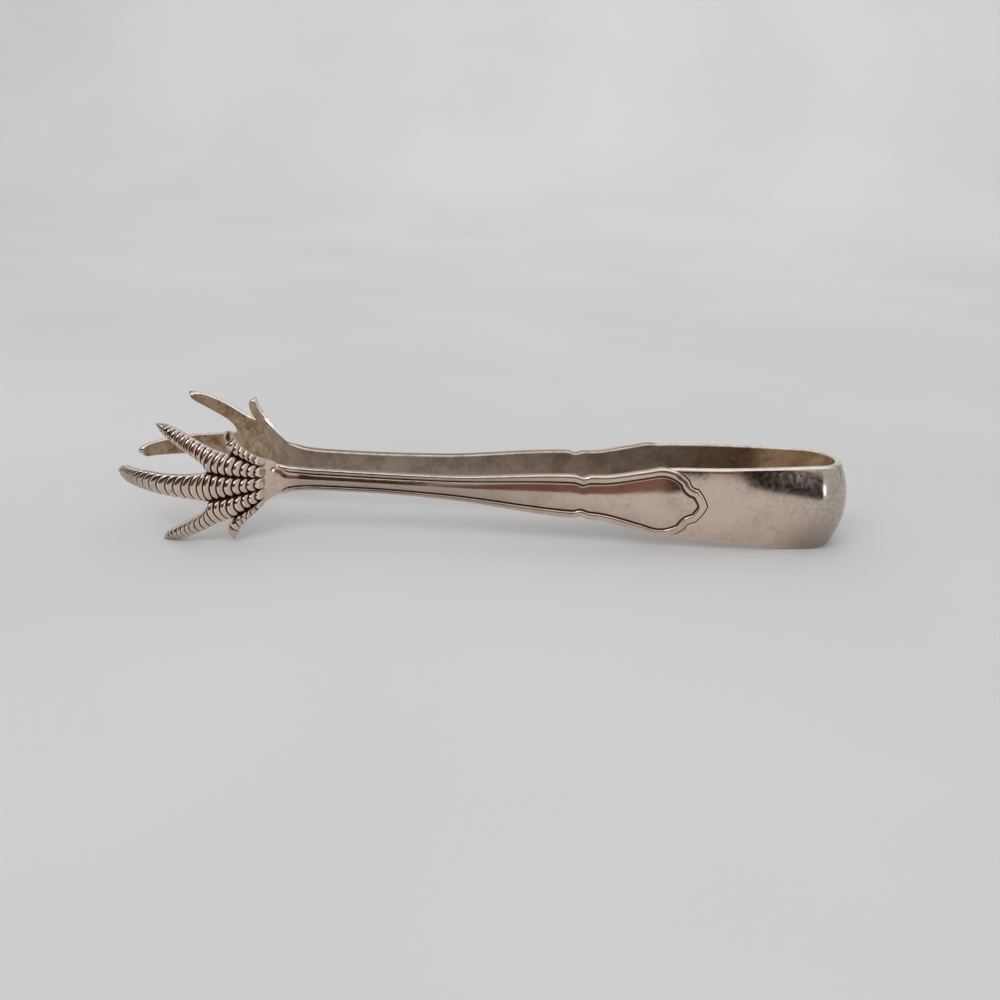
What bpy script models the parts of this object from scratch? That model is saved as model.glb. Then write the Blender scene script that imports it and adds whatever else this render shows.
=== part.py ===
"""Silver-plated sugar tongs with bird-claw ends, lying on one side.

Metres, +Z up. X runs along the tongs, from the claws at -X to the spring bow at +X, and the arms close along Y.
The origin lies on the surface that the tongs rest on, below the middle of their box.
"""

import math

import bmesh
import bpy
from mathutils import Matrix, Vector

# Gap between neighbouring pieces
clearance = 0.0003

# Spring bow: a wide strip bent to a narrow U
strip_thickness = 0.0011
bow_width = 0.0145
bend_radius = 0.0042
bend_bulge = 0.0019
leg_bulge = 0.0004
leg_spread = math.radians(7.5)
leg_length = 0.0181
leg_end_width = 0.0119
bulge_run_out = 0.0172
horn_length = 0.0050

# Cartouche at the wide end of each arm
cartouche_width = 0.01175
cartouche_length = 0.0175
lobe_width = 0.00556
lobe_length = 0.00175
lobe_bow = 0.0002
cut_width = 0.0081
cut_setback = 0.0033
shoulder_setback = 0.0075
cartouche_border = 0.0012
border_relief = 0.00035
border_draft = 0.00012
cartouche_dome = 0.00050

# Waist with a small notch in each edge, then the shank
waist_width = 0.0077
waist_taper = 0.0004
waist_length = 0.0056
notch_depth = 0.00036
notch_length = 0.0017
shank_length = 0.0463
shank_middle_width = 0.0039
shank_width = 0.0035
shank_border = 0.00075
shank_dome = 0.00045
neck_width = 0.0051
neck_run_out = 0.0060
border_run_out = 0.0020

# Half of the space between the inner faces of the arms
half_gap_at_cartouche = 0.00627
half_gap_at_waist = 0.0058
half_gap_at_shank = 0.0043
half_gap_at_neck = 0.0055

# Claw: distances along the tongs are from the hub, a point in the shank where the toes' lines meet
hub_to_neck = 0.0018
middle_toe_length = 0.0259
middle_toe_tip_width = 0.0016
long_toe_length = 0.0185
long_toe_height = 0.0091
long_toe_tip_width = 0.0010
spur_length = 0.0085
spur_height = 0.0086
spur_tip_width = 0.0011
middle_fork_length = 0.0115
middle_fork_height = 0.00235
spur_fork_length = 0.0080
spur_fork_height = 0.0051
palm_half_gap = 0.0108
palm_length = 0.0140
middle_tip_half_gap = 0.0044
spur_curl = 0.0017
claw_edge_thickness = 0.0006
neck_thickness = 0.0011
toe_bulge = 0.0006
scale_relief = 0.00016
scale_arc = 0.0007
smooth_neck = 0.0017

# Height of the middle line above a straight one, halfway between the bow and the claws
edgewise_arch = 0.00038

# Rings of scales, counted along a toe, the last one being the nail
rings_to_spur_fork = 5
rings_to_middle_fork = 8
rings_on_spur = 7
rings_on_long_toe = 18
rings_on_middle_toe = 24
rings_that_straighten = 5
nail_stretch = 1.0
nail_end_share = 0.25
nail_squareness = 2.0

# Fineness of the meshes
bend_steps = 20
leg_steps = 12
strip_columns = 6
toe_columns = 4
field_columns = 4
arc_steps = 5
shank_steps = 22

SILVER = (0.62, 0.57, 0.52, 1.0)
SCALE_SILVER = (0.55, 0.50, 0.45, 1.0)
MERGE = 1e-7
NOT_SHARED = -1
SLOPE_STEP = 0.0001

# Places along the tongs while they are made, from the middle of the bend
x_bend = 0.0
x_cartouche_tip = x_bend - leg_length
x_waist = x_cartouche_tip - cartouche_length
x_shank = x_waist - waist_length
x_neck = x_shank - shank_length
x_hub = x_neck + hub_to_neck


def ramp(value, start, end):
    """0 at start, 1 at end, with a smooth rise between them."""
    share = min(max((value - start) / (end - start), 0.0), 1.0)
    return share * share * (3 - 2 * share)


def through(stations, x):
    """Height at x of a smooth curve through (x, height) stations that doesn't overshoot them."""
    if x <= stations[0][0]:
        return stations[0][1]
    if x >= stations[-1][0]:
        return stations[-1][1]
    slopes = [(b[1] - a[1]) / (b[0] - a[0]) for a, b in zip(stations, stations[1:])]
    index = next(i for i, station in enumerate(stations[1:]) if x <= station[0])
    (x0, y0), (x1, y1) = stations[index], stations[index + 1]

    def tangent(i):
        before = slopes[max(i - 1, 0)]
        after = slopes[min(i, len(slopes) - 1)]
        if before * after <= 0:
            return 0.0
        return 2 * before * after / (before + after)

    span = x1 - x0
    t = (x - x0) / span
    start, end = tangent(index) * span, tangent(index + 1) * span
    return y0 + (3 * t * t - 2 * t**3) * (y1 - y0) + (t - 2 * t * t + t**3) * start + (t**3 - t * t) * end


def bezier(points, t):
    """Point at share t of a Bezier curve through its first and last control point."""
    points = [Vector(point) for point in points]
    while len(points) > 1:
        points = [a.lerp(b, t) for a, b in zip(points, points[1:])]
    return points[0]


def shares(count):
    return [i / count for i in range(count + 1)]


def arc(centre, radius, start, end, steps):
    """Points of an arc in the plan, from one angle to another."""
    return [
        Vector((centre.x + radius * math.cos(angle), centre.y + radius * math.sin(angle)))
        for angle in (start + (end - start) * t for t in shares(steps))
    ]


def angle_of(centre, point):
    return math.atan2(point.y - centre.y, point.x - centre.x)


def meeting(centre_a, radius_a, centre_b, radius_b):
    """Crossing of two circles that lies on the right of the line from centre a to centre b."""
    across = centre_b - centre_a
    distance = across.length
    along = (radius_a**2 - radius_b**2 + distance**2) / (2 * distance)
    side = math.sqrt(max(radius_a**2 - along**2, 0.0))
    across.normalize()
    return centre_a + across * along + Vector((across.y, -across.x)) * side


# Shape of the strip, read along the tongs


def leg_line(x):
    """Half gap of a bow leg's inner face: it leaves the bend at leg_spread and ends parallel."""
    start = Vector((x_bend + bend_radius * math.sin(leg_spread), bend_radius * math.cos(leg_spread)))
    end = Vector((x_cartouche_tip, half_gap_at_cartouche))
    span = start.x - end.x
    t = min(max((start.x - x) / span, 0.0), 1.0)
    rise = end.y - start.y
    leaving = math.tan(leg_spread) * span
    return start.y + (t - 2 * t * t + t**3) * leaving + (3 * t * t - 2 * t**3) * rise


def half_gap(x):
    """Half gap between the inner faces at x, from the middle toe's tip to the bow's legs."""
    if x > x_cartouche_tip:
        return leg_line(x)
    palm = x_hub - palm_length
    tip = x_hub - middle_toe_length
    toe_rise = palm_half_gap - middle_tip_half_gap
    palm_rise = palm_half_gap - half_gap_at_neck
    neck_rise = half_gap_at_neck - half_gap_at_shank
    waist_rise = half_gap_at_waist - half_gap_at_shank
    stations = [
        (tip - 0.05 * (palm - tip), middle_tip_half_gap - 0.12 * toe_rise),
        (tip, middle_tip_half_gap),
        (tip + 0.15 * (palm - tip), middle_tip_half_gap + 0.36 * toe_rise),
        (tip + 0.38 * (palm - tip), middle_tip_half_gap + 0.66 * toe_rise),
        (tip + 0.68 * (palm - tip), middle_tip_half_gap + 0.92 * toe_rise),
        (palm, palm_half_gap),
        (x_hub - 0.70 * palm_length, half_gap_at_neck + 0.90 * palm_rise),
        (x_hub - 0.42 * palm_length, half_gap_at_neck + 0.60 * palm_rise),
        (x_neck, half_gap_at_neck),
        (x_neck + 0.67 * neck_run_out, half_gap_at_shank + 0.08 * neck_rise),
        (x_neck + 1.50 * neck_run_out, half_gap_at_shank),
        (x_shank, half_gap_at_shank + 0.93 * waist_rise),
        (x_waist, half_gap_at_waist),
        (x_cartouche_tip, half_gap_at_cartouche),
    ]
    return through(stations, x)


def arm_half_width(x):
    """Half width of an arm at x, from the neck to the cartouche's shoulder."""
    widths = [
        (x_neck, neck_width),
        (x_neck + 0.42 * neck_run_out, shank_width + 0.38 * (neck_width - shank_width)),
        (x_neck + neck_run_out, shank_width + 0.06 * (neck_width - shank_width)),
        (x_neck + 0.32 * shank_length, shank_width),
        (x_neck + 0.56 * shank_length, shank_middle_width),
        (x_shank, waist_width - waist_taper),
        (x_waist, waist_width),
        (x_waist + 0.40 * cartouche_length, waist_width + 0.68 * (cartouche_width - waist_width)),
        (shoulder_start().x, cartouche_width),
        (x_cartouche_tip, cartouche_width),
    ]
    notch = (x - (x_waist + x_shank) / 2) / (notch_length / 2)
    return through(widths, x) / 2 - notch_depth * math.exp(-notch * notch)


def towards_waist(x):
    """0 on the narrow half of the shank, rising to 1 at the waist."""
    return ramp(x, x_neck + 0.52 * shank_length, x_waist)


def border_width(x):
    return shank_border + (cartouche_border - shank_border) * towards_waist(x)


def strip_half_width(x):
    """Half width of the bow's strip: full round the bend, and tapering along the legs."""
    share = min(max((x_bend - x) / (leg_length + horn_length), 0.0), 1.0)
    return (bow_width + (leg_end_width - bow_width) * share) / 2


def bulge_at(x):
    """How far the middle of the strip stands outside its rims."""
    on_leg = leg_bulge * ramp(x, x_shank, x_cartouche_tip)
    share = min(max((x - x_bend + bulge_run_out) / (bend_radius + bulge_run_out), 0.0), 1.0)
    return on_leg + (bend_bulge - leg_bulge) * share**1.5


# Outline of the cartouche's end, seen from the side


def lobe_radius():
    """Radius of each side of the pointed lobe."""
    chord = math.hypot(lobe_length, lobe_width / 2)
    return (chord**2 / 4 + lobe_bow**2) / (2 * lobe_bow)


def lobe_centre():
    corner = Vector((-lobe_length, lobe_width / 2))
    out = Vector((corner.y, -corner.x)).normalized()
    return Vector((x_cartouche_tip, 0.0)) + corner / 2 - out * (lobe_radius() - lobe_bow)


def cut_radius():
    """Radius of the hollow between the lobe and the shoulder, which leaves the lobe along the tongs."""
    rise = (cut_width - lobe_width) / 2
    run = cut_setback - lobe_length
    return (run**2 + rise**2) / (2 * rise)


def cut_centre():
    return Vector((x_cartouche_tip - lobe_length, lobe_width / 2 + cut_radius()))


def shoulder_radius():
    """Radius of the shoulder, which leaves the cartouche's side smoothly and ends at the hollow."""
    rise = (cartouche_width - cut_width) / 2
    run = shoulder_setback - cut_setback
    return (run**2 + rise**2) / (2 * rise)


def shoulder_start():
    return Vector((x_cartouche_tip - shoulder_setback, cartouche_width / 2))


def shoulder_centre():
    return shoulder_start() - Vector((0.0, shoulder_radius()))


def cartouche_end(inset):
    """Half outline of the cartouche's end, moved into the cartouche by inset, from its side to its tip."""
    upper = meeting(cut_centre(), cut_radius() + inset, shoulder_centre(), shoulder_radius() - inset)
    lower = meeting(lobe_centre(), lobe_radius() - inset, cut_centre(), cut_radius() + inset)
    turned = angle_of(shoulder_centre(), upper)
    shoulder = arc(shoulder_centre(), shoulder_radius() - inset, math.pi / 2, turned, arc_steps)
    cut_start = angle_of(cut_centre(), upper) % (2 * math.pi)
    cut_end = angle_of(cut_centre(), lower) % (2 * math.pi)
    cut = arc(cut_centre(), cut_radius() + inset, cut_start, cut_end, arc_steps)
    tip = math.asin(-lobe_centre().y / (lobe_radius() - inset))
    lobe = arc(lobe_centre(), lobe_radius() - inset, angle_of(lobe_centre(), lower), tip, arc_steps)
    return shoulder + cut[1:] + lobe[1:]


def field_height(x, across):
    """Rise of the domed field between the borders, down to nothing at the cartouche's tip."""
    dome = shank_dome + (cartouche_dome - shank_dome) * towards_waist(x)
    dome *= ramp(x, x_neck, x_neck + border_run_out)
    end = shoulder_start().x
    if x > end:
        dome *= 1 - min((x - end) / (x_cartouche_tip - cartouche_border - end), 1.0) ** 2
    half = arm_half_width(min(x, end)) - border_width(x)
    return dome * (1 - min(abs(across) / half, 1.0) ** 2)


def arm_outlines():
    """Matching points of an arm's edge, its border's inner line and the foot of that line, up to the tip."""
    end = shoulder_start().x
    notch = (x_waist + x_shank) / 2
    places = [x_neck + (end - x_neck) * t for t in shares(shank_steps)]
    places += [notch + offset * notch_length for offset in (-1.2, -0.7, -0.35, 0.0, 0.35, 0.7, 1.2)]
    edge, line, foot = [], [], []
    for x in sorted(places)[:-1]:
        width = arm_half_width(x)
        edge.append(Vector((x, width)))
        line.append(Vector((x, width - border_width(x))))
        foot.append(Vector((x, width - border_width(x) - border_draft)))
    edge += cartouche_end(0.0)
    line += cartouche_end(cartouche_border)
    foot += cartouche_end(cartouche_border + border_draft)
    return edge, line, foot


# Mesh helpers


def arch_at(x):
    """Rise of the middle line above a straight one."""
    share = max(x_bend - x, 0.0) / (x_bend - x_hub + middle_toe_length)
    return 4 * edgewise_arch * share * (1 - share)


def settle(point):
    """Lays the straight tongs down: the bow's rim stays level, and the claw end rises onto its toes."""
    rise = lay_slope * max(x_bend - point.x, 0.0) + arch_at(point.x)
    return Vector((point.x, point.y, point.z + bow_width / 2 + rise))


def silver(name, colour, roughness):
    material = bpy.data.materials.new(name)
    material.use_nodes = True
    shader = material.node_tree.nodes["Principled BSDF"]
    shader.inputs["Base Color"].default_value = colour
    shader.inputs["Metallic"].default_value = 1.0
    shader.inputs["Roughness"].default_value = roughness
    return material


def loft(loops, cap_start=True, cap_end=True):
    """Closed skin through closed loops of equal length. Points that coincide are merged."""
    mesh = bmesh.new()
    rings = [[mesh.verts.new(point) for point in loop] for loop in loops]
    for ring, following in zip(rings, rings[1:]):
        for i in range(len(ring)):
            j = (i + 1) % len(ring)
            mesh.faces.new((ring[i], ring[j], following[j], following[i]))
    if cap_start:
        mesh.faces.new(reversed(rings[0]))
    if cap_end:
        mesh.faces.new(rings[-1])
    return mesh


def tidy(mesh):
    """Merges coinciding points, drops faces without area and turns every face outwards."""
    bmesh.ops.remove_doubles(mesh, verts=mesh.verts, dist=MERGE)
    bmesh.ops.dissolve_degenerate(mesh, edges=mesh.edges, dist=MERGE)
    bmesh.ops.recalc_face_normals(mesh, faces=mesh.faces)


def finish(mesh, name, material):
    """Object from a bmesh, shaded smooth but for its crisp edges."""
    tidy(mesh)
    data = bpy.data.meshes.new(name)
    mesh.to_mesh(data)
    mesh.free()
    data.materials.append(material)
    data.shade_smooth()
    data.set_sharp_from_angle(angle=math.radians(35))
    obj = bpy.data.objects.new(name, data)
    bpy.context.scene.collection.objects.link(obj)
    return obj


# Pieces


def strip_path():
    """Inner face of the bow from the front leg's end to the rear leg's: a point and the way out of the U."""
    leg = []
    leg_start = x_bend + bend_radius * math.sin(leg_spread)
    leg_end = x_cartouche_tip - horn_length
    for t in shares(leg_steps)[:-1]:
        x = leg_end + (leg_start - leg_end) * t
        slope = (half_gap(x + SLOPE_STEP) - half_gap(x - SLOPE_STEP)) / (2 * SLOPE_STEP)
        leg.append((Vector((x, -half_gap(x))), Vector((-slope, -1.0)).normalized()))
    turn = math.pi / 2 - leg_spread
    bend = []
    for t in shares(bend_steps):
        angle = -turn + 2 * turn * t
        out = Vector((math.cos(angle), math.sin(angle)))
        bend.append((Vector((x_bend, 0.0)) + bend_radius * out, out))
    rear = [(Vector((p.x, -p.y)), Vector((n.x, -n.y))) for p, n in reversed(leg)]
    return leg + bend + rear


def make_spring_bow(cutter):
    loops = []
    for place, out in strip_path():
        half = strip_half_width(place.x)
        bulge = bulge_at(place.x)
        inner, outer = [], []
        for t in shares(strip_columns):
            share = 2 * t - 1
            crown = bulge * (1 - share * share)
            for face, depth in ((inner, 0.0), (outer, strip_thickness)):
                flat = place + out * (crown + depth)
                face.append(settle(Vector((flat.x, flat.y, half * share))))
        loops.append(inner + outer[::-1])
    bow = finish(loft(loops), "spring_bow", silver("bow_silver", SILVER, 0.22))
    seat = bow.modifiers.new("cartouche_seat", "BOOLEAN")
    seat.operation = "DIFFERENCE"
    seat.object = cutter
    return bow


def make_cartouche_seat():
    """Cutter for both legs: the cartouche's end and its clearance, and all the strip behind its shoulders."""
    half = cartouche_end(-clearance)
    shoulder_end = x_cartouche_tip - horn_length + clearance
    half = [point for point in half if point.x > shoulder_end + clearance]
    widest = bow_width / 2
    behind = x_cartouche_tip - horn_length - bow_width
    beside = math.sqrt((shoulder_radius() + clearance) ** 2 - (shoulder_end - shoulder_centre().x) ** 2)
    first = Vector((shoulder_end, shoulder_centre().y + beside))
    outline = [Vector((behind, widest)), Vector((shoulder_end, widest)), first] + half
    outline += [Vector((point.x, -point.y)) for point in reversed(outline[:-1])]
    reach = half_gap_at_cartouche + strip_thickness + bend_bulge + bow_width
    loops = [
        [settle(Vector((point.x, side * reach, point.y))) for point in outline]
        for side in (-1, 1)
    ]
    cutter = finish(loft(loops), "cartouche_seat_cutter", silver("cutter", SILVER, 0.5))
    cutter.hide_render = True
    cutter.display_type = "WIRE"
    return cutter


def on_arm(point, depth):
    """Place on the front arm of a point in the plan, at a depth above the arm's inner face."""
    half = strip_half_width(point.x)
    crown = bulge_at(point.x) * (1 - (point.y / half) ** 2)
    return settle(Vector((point.x, -(half_gap(point.x) + crown + depth), point.y)))


def make_front_arm():
    loops = []
    for edge, line, foot in zip(*arm_outlines()):
        top = strip_thickness + border_relief * ramp(edge.x, x_neck, x_neck + border_run_out)
        inner, field = [], []
        for t in shares(field_columns):
            share = 2 * t - 1
            inner.append(on_arm(Vector((edge.x, edge.y * share)), 0.0))
            height = strip_thickness + field_height(foot.x, foot.y * share)
            field.append(on_arm(Vector((foot.x, foot.y * share)), height))
        right = [on_arm(edge, top), on_arm(line, top)]
        left = [on_arm(Vector((point.x, -point.y)), top) for point in (line, edge)]
        loops.append(inner + right + field[::-1] + left)
    return finish(loft(loops, cap_end=False), "front_arm", silver("arm_silver", SILVER, 0.25))


def claw_half_gap(along, across):
    """Half gap of a claw's inner face, as a bowl round the hub whose spurs curl in further."""
    spread = ramp(along, hub_to_neck, spur_fork_length)
    reach = math.hypot(along, across * spread)
    turned = abs(math.atan2(across, along)) / math.atan2(spur_height, spur_length)
    return half_gap(x_hub - reach) - spur_curl * spread * min(turned, 1.2) ** 3


def on_claw(point, depth):
    """Place on the front claw of a point in the plan, at a depth above the claw's inner face."""
    along, across = point.x, point.y
    further = claw_half_gap(along + SLOPE_STEP, across)
    nearer = claw_half_gap(along - SLOPE_STEP, across)
    slope_along = (further - nearer) / (2 * SLOPE_STEP)
    higher = claw_half_gap(along, across + SLOPE_STEP)
    lower = claw_half_gap(along, across - SLOPE_STEP)
    slope_across = (higher - lower) / (2 * SLOPE_STEP)
    lean = ramp(along, hub_to_neck, spur_fork_length)
    out = Vector((-lean * slope_along, 1.0, -lean * slope_across)).normalized() * depth
    gap = claw_half_gap(along, across)
    return Vector((x_hub - along - out.x, -(gap + out.y), across + out.z))


def split_edge(shared, free, shared_rings, rings):
    """Curve along one edge of a toe, by ring: shared with its neighbour up to the fork, and free beyond it.

    Rings below 0 are the smooth neck ahead of the first scale.
    """
    smooth = smooth_neck / ((len(shared) - 1) * (shared[1][0] - shared[0][0]))
    free_rings = rings - shared_rings + nail_stretch

    def place(ring):
        if ring <= 0:
            return bezier(shared, smooth * (1 + ring))
        if ring <= shared_rings:
            return bezier(shared, smooth + (1 - smooth) * ring / shared_rings)
        t = (ring - shared_rings + nail_stretch * max(ring - rings + 1, 0.0)) / free_rings
        t *= 1 + 0.45 * (1 - t)
        return bezier(free, t if shared_rings else smooth + (1 - smooth) * t)

    return place


def toe_edges():
    """Each toe of the upper half as its name, ring count, and its two edges with the rings that they share."""
    start = hub_to_neck + clearance
    half_neck = neck_width / 2
    spur_fork = (spur_fork_length, spur_fork_height)
    middle_fork = (middle_fork_length, middle_fork_height)
    spur_line = [
        (start, 0.62 * half_neck),
        (0.62 * spur_fork_length, 0.61 * spur_fork_height),
        spur_fork,
    ]
    middle_line = [
        (start, 0.22 * half_neck),
        (0.61 * middle_fork_length, 0.60 * middle_fork_height),
        middle_fork,
    ]
    half_spur_tip = spur_tip_width / 2
    half_long_tip = long_toe_tip_width / 2
    spur_outside = [
        (start, half_neck),
        (0.54 * spur_length, 0.51 * spur_height),
        (0.88 * spur_length, 0.66 * spur_height),
        (spur_length - half_spur_tip, spur_height),
    ]
    spur_inside = [
        spur_fork,
        (1.03 * spur_length, 0.69 * spur_height),
        (1.09 * spur_length, 0.86 * spur_height),
        (spur_length + half_spur_tip, spur_height),
    ]
    long_outside = [
        spur_fork,
        (0.58 * long_toe_length, 0.59 * long_toe_height),
        (0.76 * long_toe_length, 0.96 * long_toe_height),
        (long_toe_length - half_long_tip, long_toe_height + 0.6 * half_long_tip),
    ]
    long_inside = [
        middle_fork,
        (0.62 * long_toe_length, 0.50 * long_toe_height),
        (0.86 * long_toe_length, 0.64 * long_toe_height),
        (long_toe_length + half_long_tip, long_toe_height - 0.6 * half_long_tip),
    ]
    middle_side = [
        middle_fork,
        (0.55 * middle_toe_length, 0.6 * middle_fork_height),
        (0.91 * middle_toe_length, 0.72 * middle_fork_height),
        (middle_toe_length, middle_toe_tip_width / 2),
    ]
    to_spur, to_middle = rings_to_spur_fork, rings_to_middle_fork
    spur = (
        rings_on_spur,
        split_edge(spur_outside, spur_outside, 0, rings_on_spur),
        NOT_SHARED,
        split_edge(spur_line, spur_inside, to_spur, rings_on_spur),
        to_spur,
    )
    long_toe = (
        rings_on_long_toe,
        split_edge(spur_line, long_outside, to_spur, rings_on_long_toe),
        to_spur,
        split_edge(middle_line, long_inside, to_middle, rings_on_long_toe),
        to_middle,
    )
    middle_edge = split_edge(middle_line, middle_side, to_middle, rings_on_middle_toe)
    return spur, long_toe, (rings_on_middle_toe, middle_edge, to_middle)


def mirrored(edge):
    return lambda ring: Vector((edge(ring).x, -edge(ring).y))


def add_toe(mesh, rings, upper, upper_shared, lower, lower_shared):
    """Skin of one toe: scaled outside up to its smooth nail, smooth inside, with walls on its free edges."""
    outer_rows, inner_rows, row_rings = [], [], [(-1, 0.0)]
    nail = rings - 1
    for ring in range(nail):
        row_rings += [(ring, 0.0), (ring + 0.8, 1.0)]
    row_rings += [(nail + share, 0.0) for share in (0.0, 0.4, 0.75, 0.93, 1.0)]
    for ring, relief in row_rings:
        top, bottom = upper(ring), lower(ring)
        middle = top.lerp(bottom, 0.5)
        full = 1 - (1 - min(rings - ring, 1.0)) ** nail_squareness
        rounding = nail_end_share + (1 - nail_end_share) * full ** (1 / nail_squareness)
        outer, inner = [], []
        for t in shares(toe_columns):
            crown = 4 * t * (1 - t)
            point = middle + (top.lerp(bottom, t) - middle) * rounding
            arched = crown * min(1.0, max(ring, 0.0), max(nail - ring, 0.0) / rings_that_straighten)
            forward = point + Vector((scale_arc * arched, 0.0))
            spread = ramp(point.x, hub_to_neck, spur_fork_length)
            edge = neck_thickness + (claw_edge_thickness - neck_thickness) * spread
            height = edge + crown * (toe_bulge * spread + relief * scale_relief)
            outer.append(mesh.verts.new(on_claw(forward, height)))
            inner.append(mesh.verts.new(on_claw(point, 0.0)))
        outer_rows.append(outer)
        inner_rows.append(inner)
    for row in range(len(row_rings) - 1):
        a, b = outer_rows[row], outer_rows[row + 1]
        c, d = inner_rows[row], inner_rows[row + 1]
        for i in range(toe_columns):
            mesh.faces.new((a[i], a[i + 1], b[i + 1], b[i]))
            mesh.faces.new((c[i + 1], c[i], d[i], d[i + 1]))
        for side, shared in ((0, upper_shared), (-1, lower_shared)):
            if row_rings[row][0] >= shared:
                mesh.faces.new((a[side], b[side], d[side], c[side]))
    for outer, inner in ((outer_rows[0], inner_rows[0]), (outer_rows[-1], inner_rows[-1])):
        for i in range(toe_columns):
            mesh.faces.new((outer[i], outer[i + 1], inner[i + 1], inner[i]))


def claw_mesh():
    """Front claw in the straight tongs, as one closed skin over its five toes."""
    mesh = bmesh.new()
    spur, long_toe, (middle_rings, middle_edge, middle_shared) = toe_edges()
    for rings, upper, upper_shared, lower, lower_shared in (spur, long_toe):
        add_toe(mesh, rings, upper, upper_shared, lower, lower_shared)
        add_toe(mesh, rings, mirrored(lower), lower_shared, mirrored(upper), upper_shared)
    add_toe(mesh, middle_rings, middle_edge, middle_shared, mirrored(middle_edge), middle_shared)
    return mesh


def make_front_claw():
    mesh = claw_mesh()
    for vert in mesh.verts:
        vert.co = settle(vert.co)
    return finish(mesh, "front_claw", silver("claw_silver", SCALE_SILVER, 0.3))


def slope_onto_toes():
    """Rise of the middle line, per metre, that brings the lowest toes down to the level of the bow's rim."""
    mesh = claw_mesh()
    slopes = [
        (-vert.co.z - bow_width / 2 - arch_at(vert.co.x)) / (x_bend - vert.co.x)
        for vert in mesh.verts
    ]
    mesh.free()
    return max(slopes)


def mirror_piece(obj, name):
    """The same piece on the other side of the tongs."""
    mesh = bmesh.new()
    mesh.from_mesh(obj.data)
    bmesh.ops.scale(mesh, vec=(1.0, -1.0, 1.0), verts=mesh.verts)
    bmesh.ops.reverse_faces(mesh, faces=mesh.faces)
    return finish(mesh, name, obj.data.materials[0].copy())


def centre(pieces):
    """Moves the pieces along X so that the middle of their box is over the origin, and gives the distance."""
    ends = [vert.co.x for piece in pieces for vert in piece.data.vertices]
    shift = -(min(ends) + max(ends)) / 2
    for piece in pieces:
        piece.data.transform(Matrix.Translation((shift, 0.0, 0.0)))
    return shift


def make_joint(name, side, pieces):
    """Empty on the vertical axis that an arm turns about where the bow flexes, with its pieces on it."""
    joint = bpy.data.objects.new(name, None)
    bpy.context.scene.collection.objects.link(joint)
    joint.location = (x_bend + middle_shift, side * (bend_radius + strip_thickness / 2), bow_width / 2)
    for piece in pieces:
        piece.data.transform(Matrix.Translation(-joint.location))
        piece.parent = joint


for leftover in list(bpy.data.objects):
    bpy.data.objects.remove(leftover, do_unlink=True)

lay_slope = slope_onto_toes()
cartouche_seat = make_cartouche_seat()
spring_bow = make_spring_bow(cartouche_seat)
front_arm = make_front_arm()
front_claw = make_front_claw()
rear_arm = mirror_piece(front_arm, "rear_arm")
rear_claw = mirror_piece(front_claw, "rear_claw")
middle_shift = centre((spring_bow, front_arm, front_claw, rear_arm, rear_claw))
cartouche_seat.data.transform(Matrix.Translation((middle_shift, 0.0, 0.0)))
make_joint("front_arm_joint", -1, (front_arm, front_claw))
make_joint("rear_arm_joint", 1, (rear_arm, rear_claw))
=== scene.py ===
"""Looks of the silver-plated claw sugar tongs: struck borders, scaled claws and worn, tarnished plate."""

import math

import bmesh
import bpy
from mathutils import Matrix, Vector
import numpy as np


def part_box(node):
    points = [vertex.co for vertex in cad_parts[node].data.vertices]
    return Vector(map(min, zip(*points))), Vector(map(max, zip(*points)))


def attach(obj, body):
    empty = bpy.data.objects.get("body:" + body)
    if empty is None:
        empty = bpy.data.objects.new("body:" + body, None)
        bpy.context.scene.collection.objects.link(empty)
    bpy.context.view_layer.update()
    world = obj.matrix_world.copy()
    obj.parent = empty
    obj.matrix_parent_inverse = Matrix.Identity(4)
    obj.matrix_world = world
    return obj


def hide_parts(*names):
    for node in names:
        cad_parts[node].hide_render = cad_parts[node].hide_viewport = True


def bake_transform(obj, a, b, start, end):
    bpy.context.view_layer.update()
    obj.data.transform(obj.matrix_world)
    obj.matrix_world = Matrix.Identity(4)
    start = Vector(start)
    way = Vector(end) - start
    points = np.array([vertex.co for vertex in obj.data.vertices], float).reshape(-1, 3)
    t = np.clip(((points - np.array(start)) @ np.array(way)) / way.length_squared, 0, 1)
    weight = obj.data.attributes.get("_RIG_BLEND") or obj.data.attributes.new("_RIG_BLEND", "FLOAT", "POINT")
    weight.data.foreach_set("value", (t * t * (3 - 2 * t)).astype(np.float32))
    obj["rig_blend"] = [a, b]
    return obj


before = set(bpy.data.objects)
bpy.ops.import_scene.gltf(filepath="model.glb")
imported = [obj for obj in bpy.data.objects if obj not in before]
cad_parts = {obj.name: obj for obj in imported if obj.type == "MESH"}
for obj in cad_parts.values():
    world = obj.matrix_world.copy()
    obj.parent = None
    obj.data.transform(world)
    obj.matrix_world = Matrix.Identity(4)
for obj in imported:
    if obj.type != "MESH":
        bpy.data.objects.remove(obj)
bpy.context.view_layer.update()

# Sizes of the solids, in metres
strip_thickness = 0.0011
bow_width = 0.0145
bend_radius = 0.0042
bend_bulge = 0.0019
leg_bulge = 0.0004
leg_spread = math.radians(7.5)
leg_length = 0.0181
leg_end_width = 0.0119
bulge_run_out = 0.0172
horn_length = 0.0050
cartouche_width = 0.01175
cartouche_length = 0.0175
lobe_width = 0.00556
lobe_length = 0.00175
lobe_bow = 0.0002
cut_width = 0.0081
cut_setback = 0.0033
shoulder_setback = 0.0075
cartouche_border = 0.0012
border_relief = 0.00035
cartouche_dome = 0.00050
waist_width = 0.0077
waist_taper = 0.0004
waist_length = 0.0056
notch_depth = 0.00036
notch_length = 0.0017
shank_length = 0.0463
shank_middle_width = 0.0039
shank_width = 0.0035
shank_border = 0.00075
shank_dome = 0.00045
neck_width = 0.0051
neck_run_out = 0.0060
border_run_out = 0.0020
half_gap_at_cartouche = 0.00627
half_gap_at_waist = 0.0058
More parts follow.
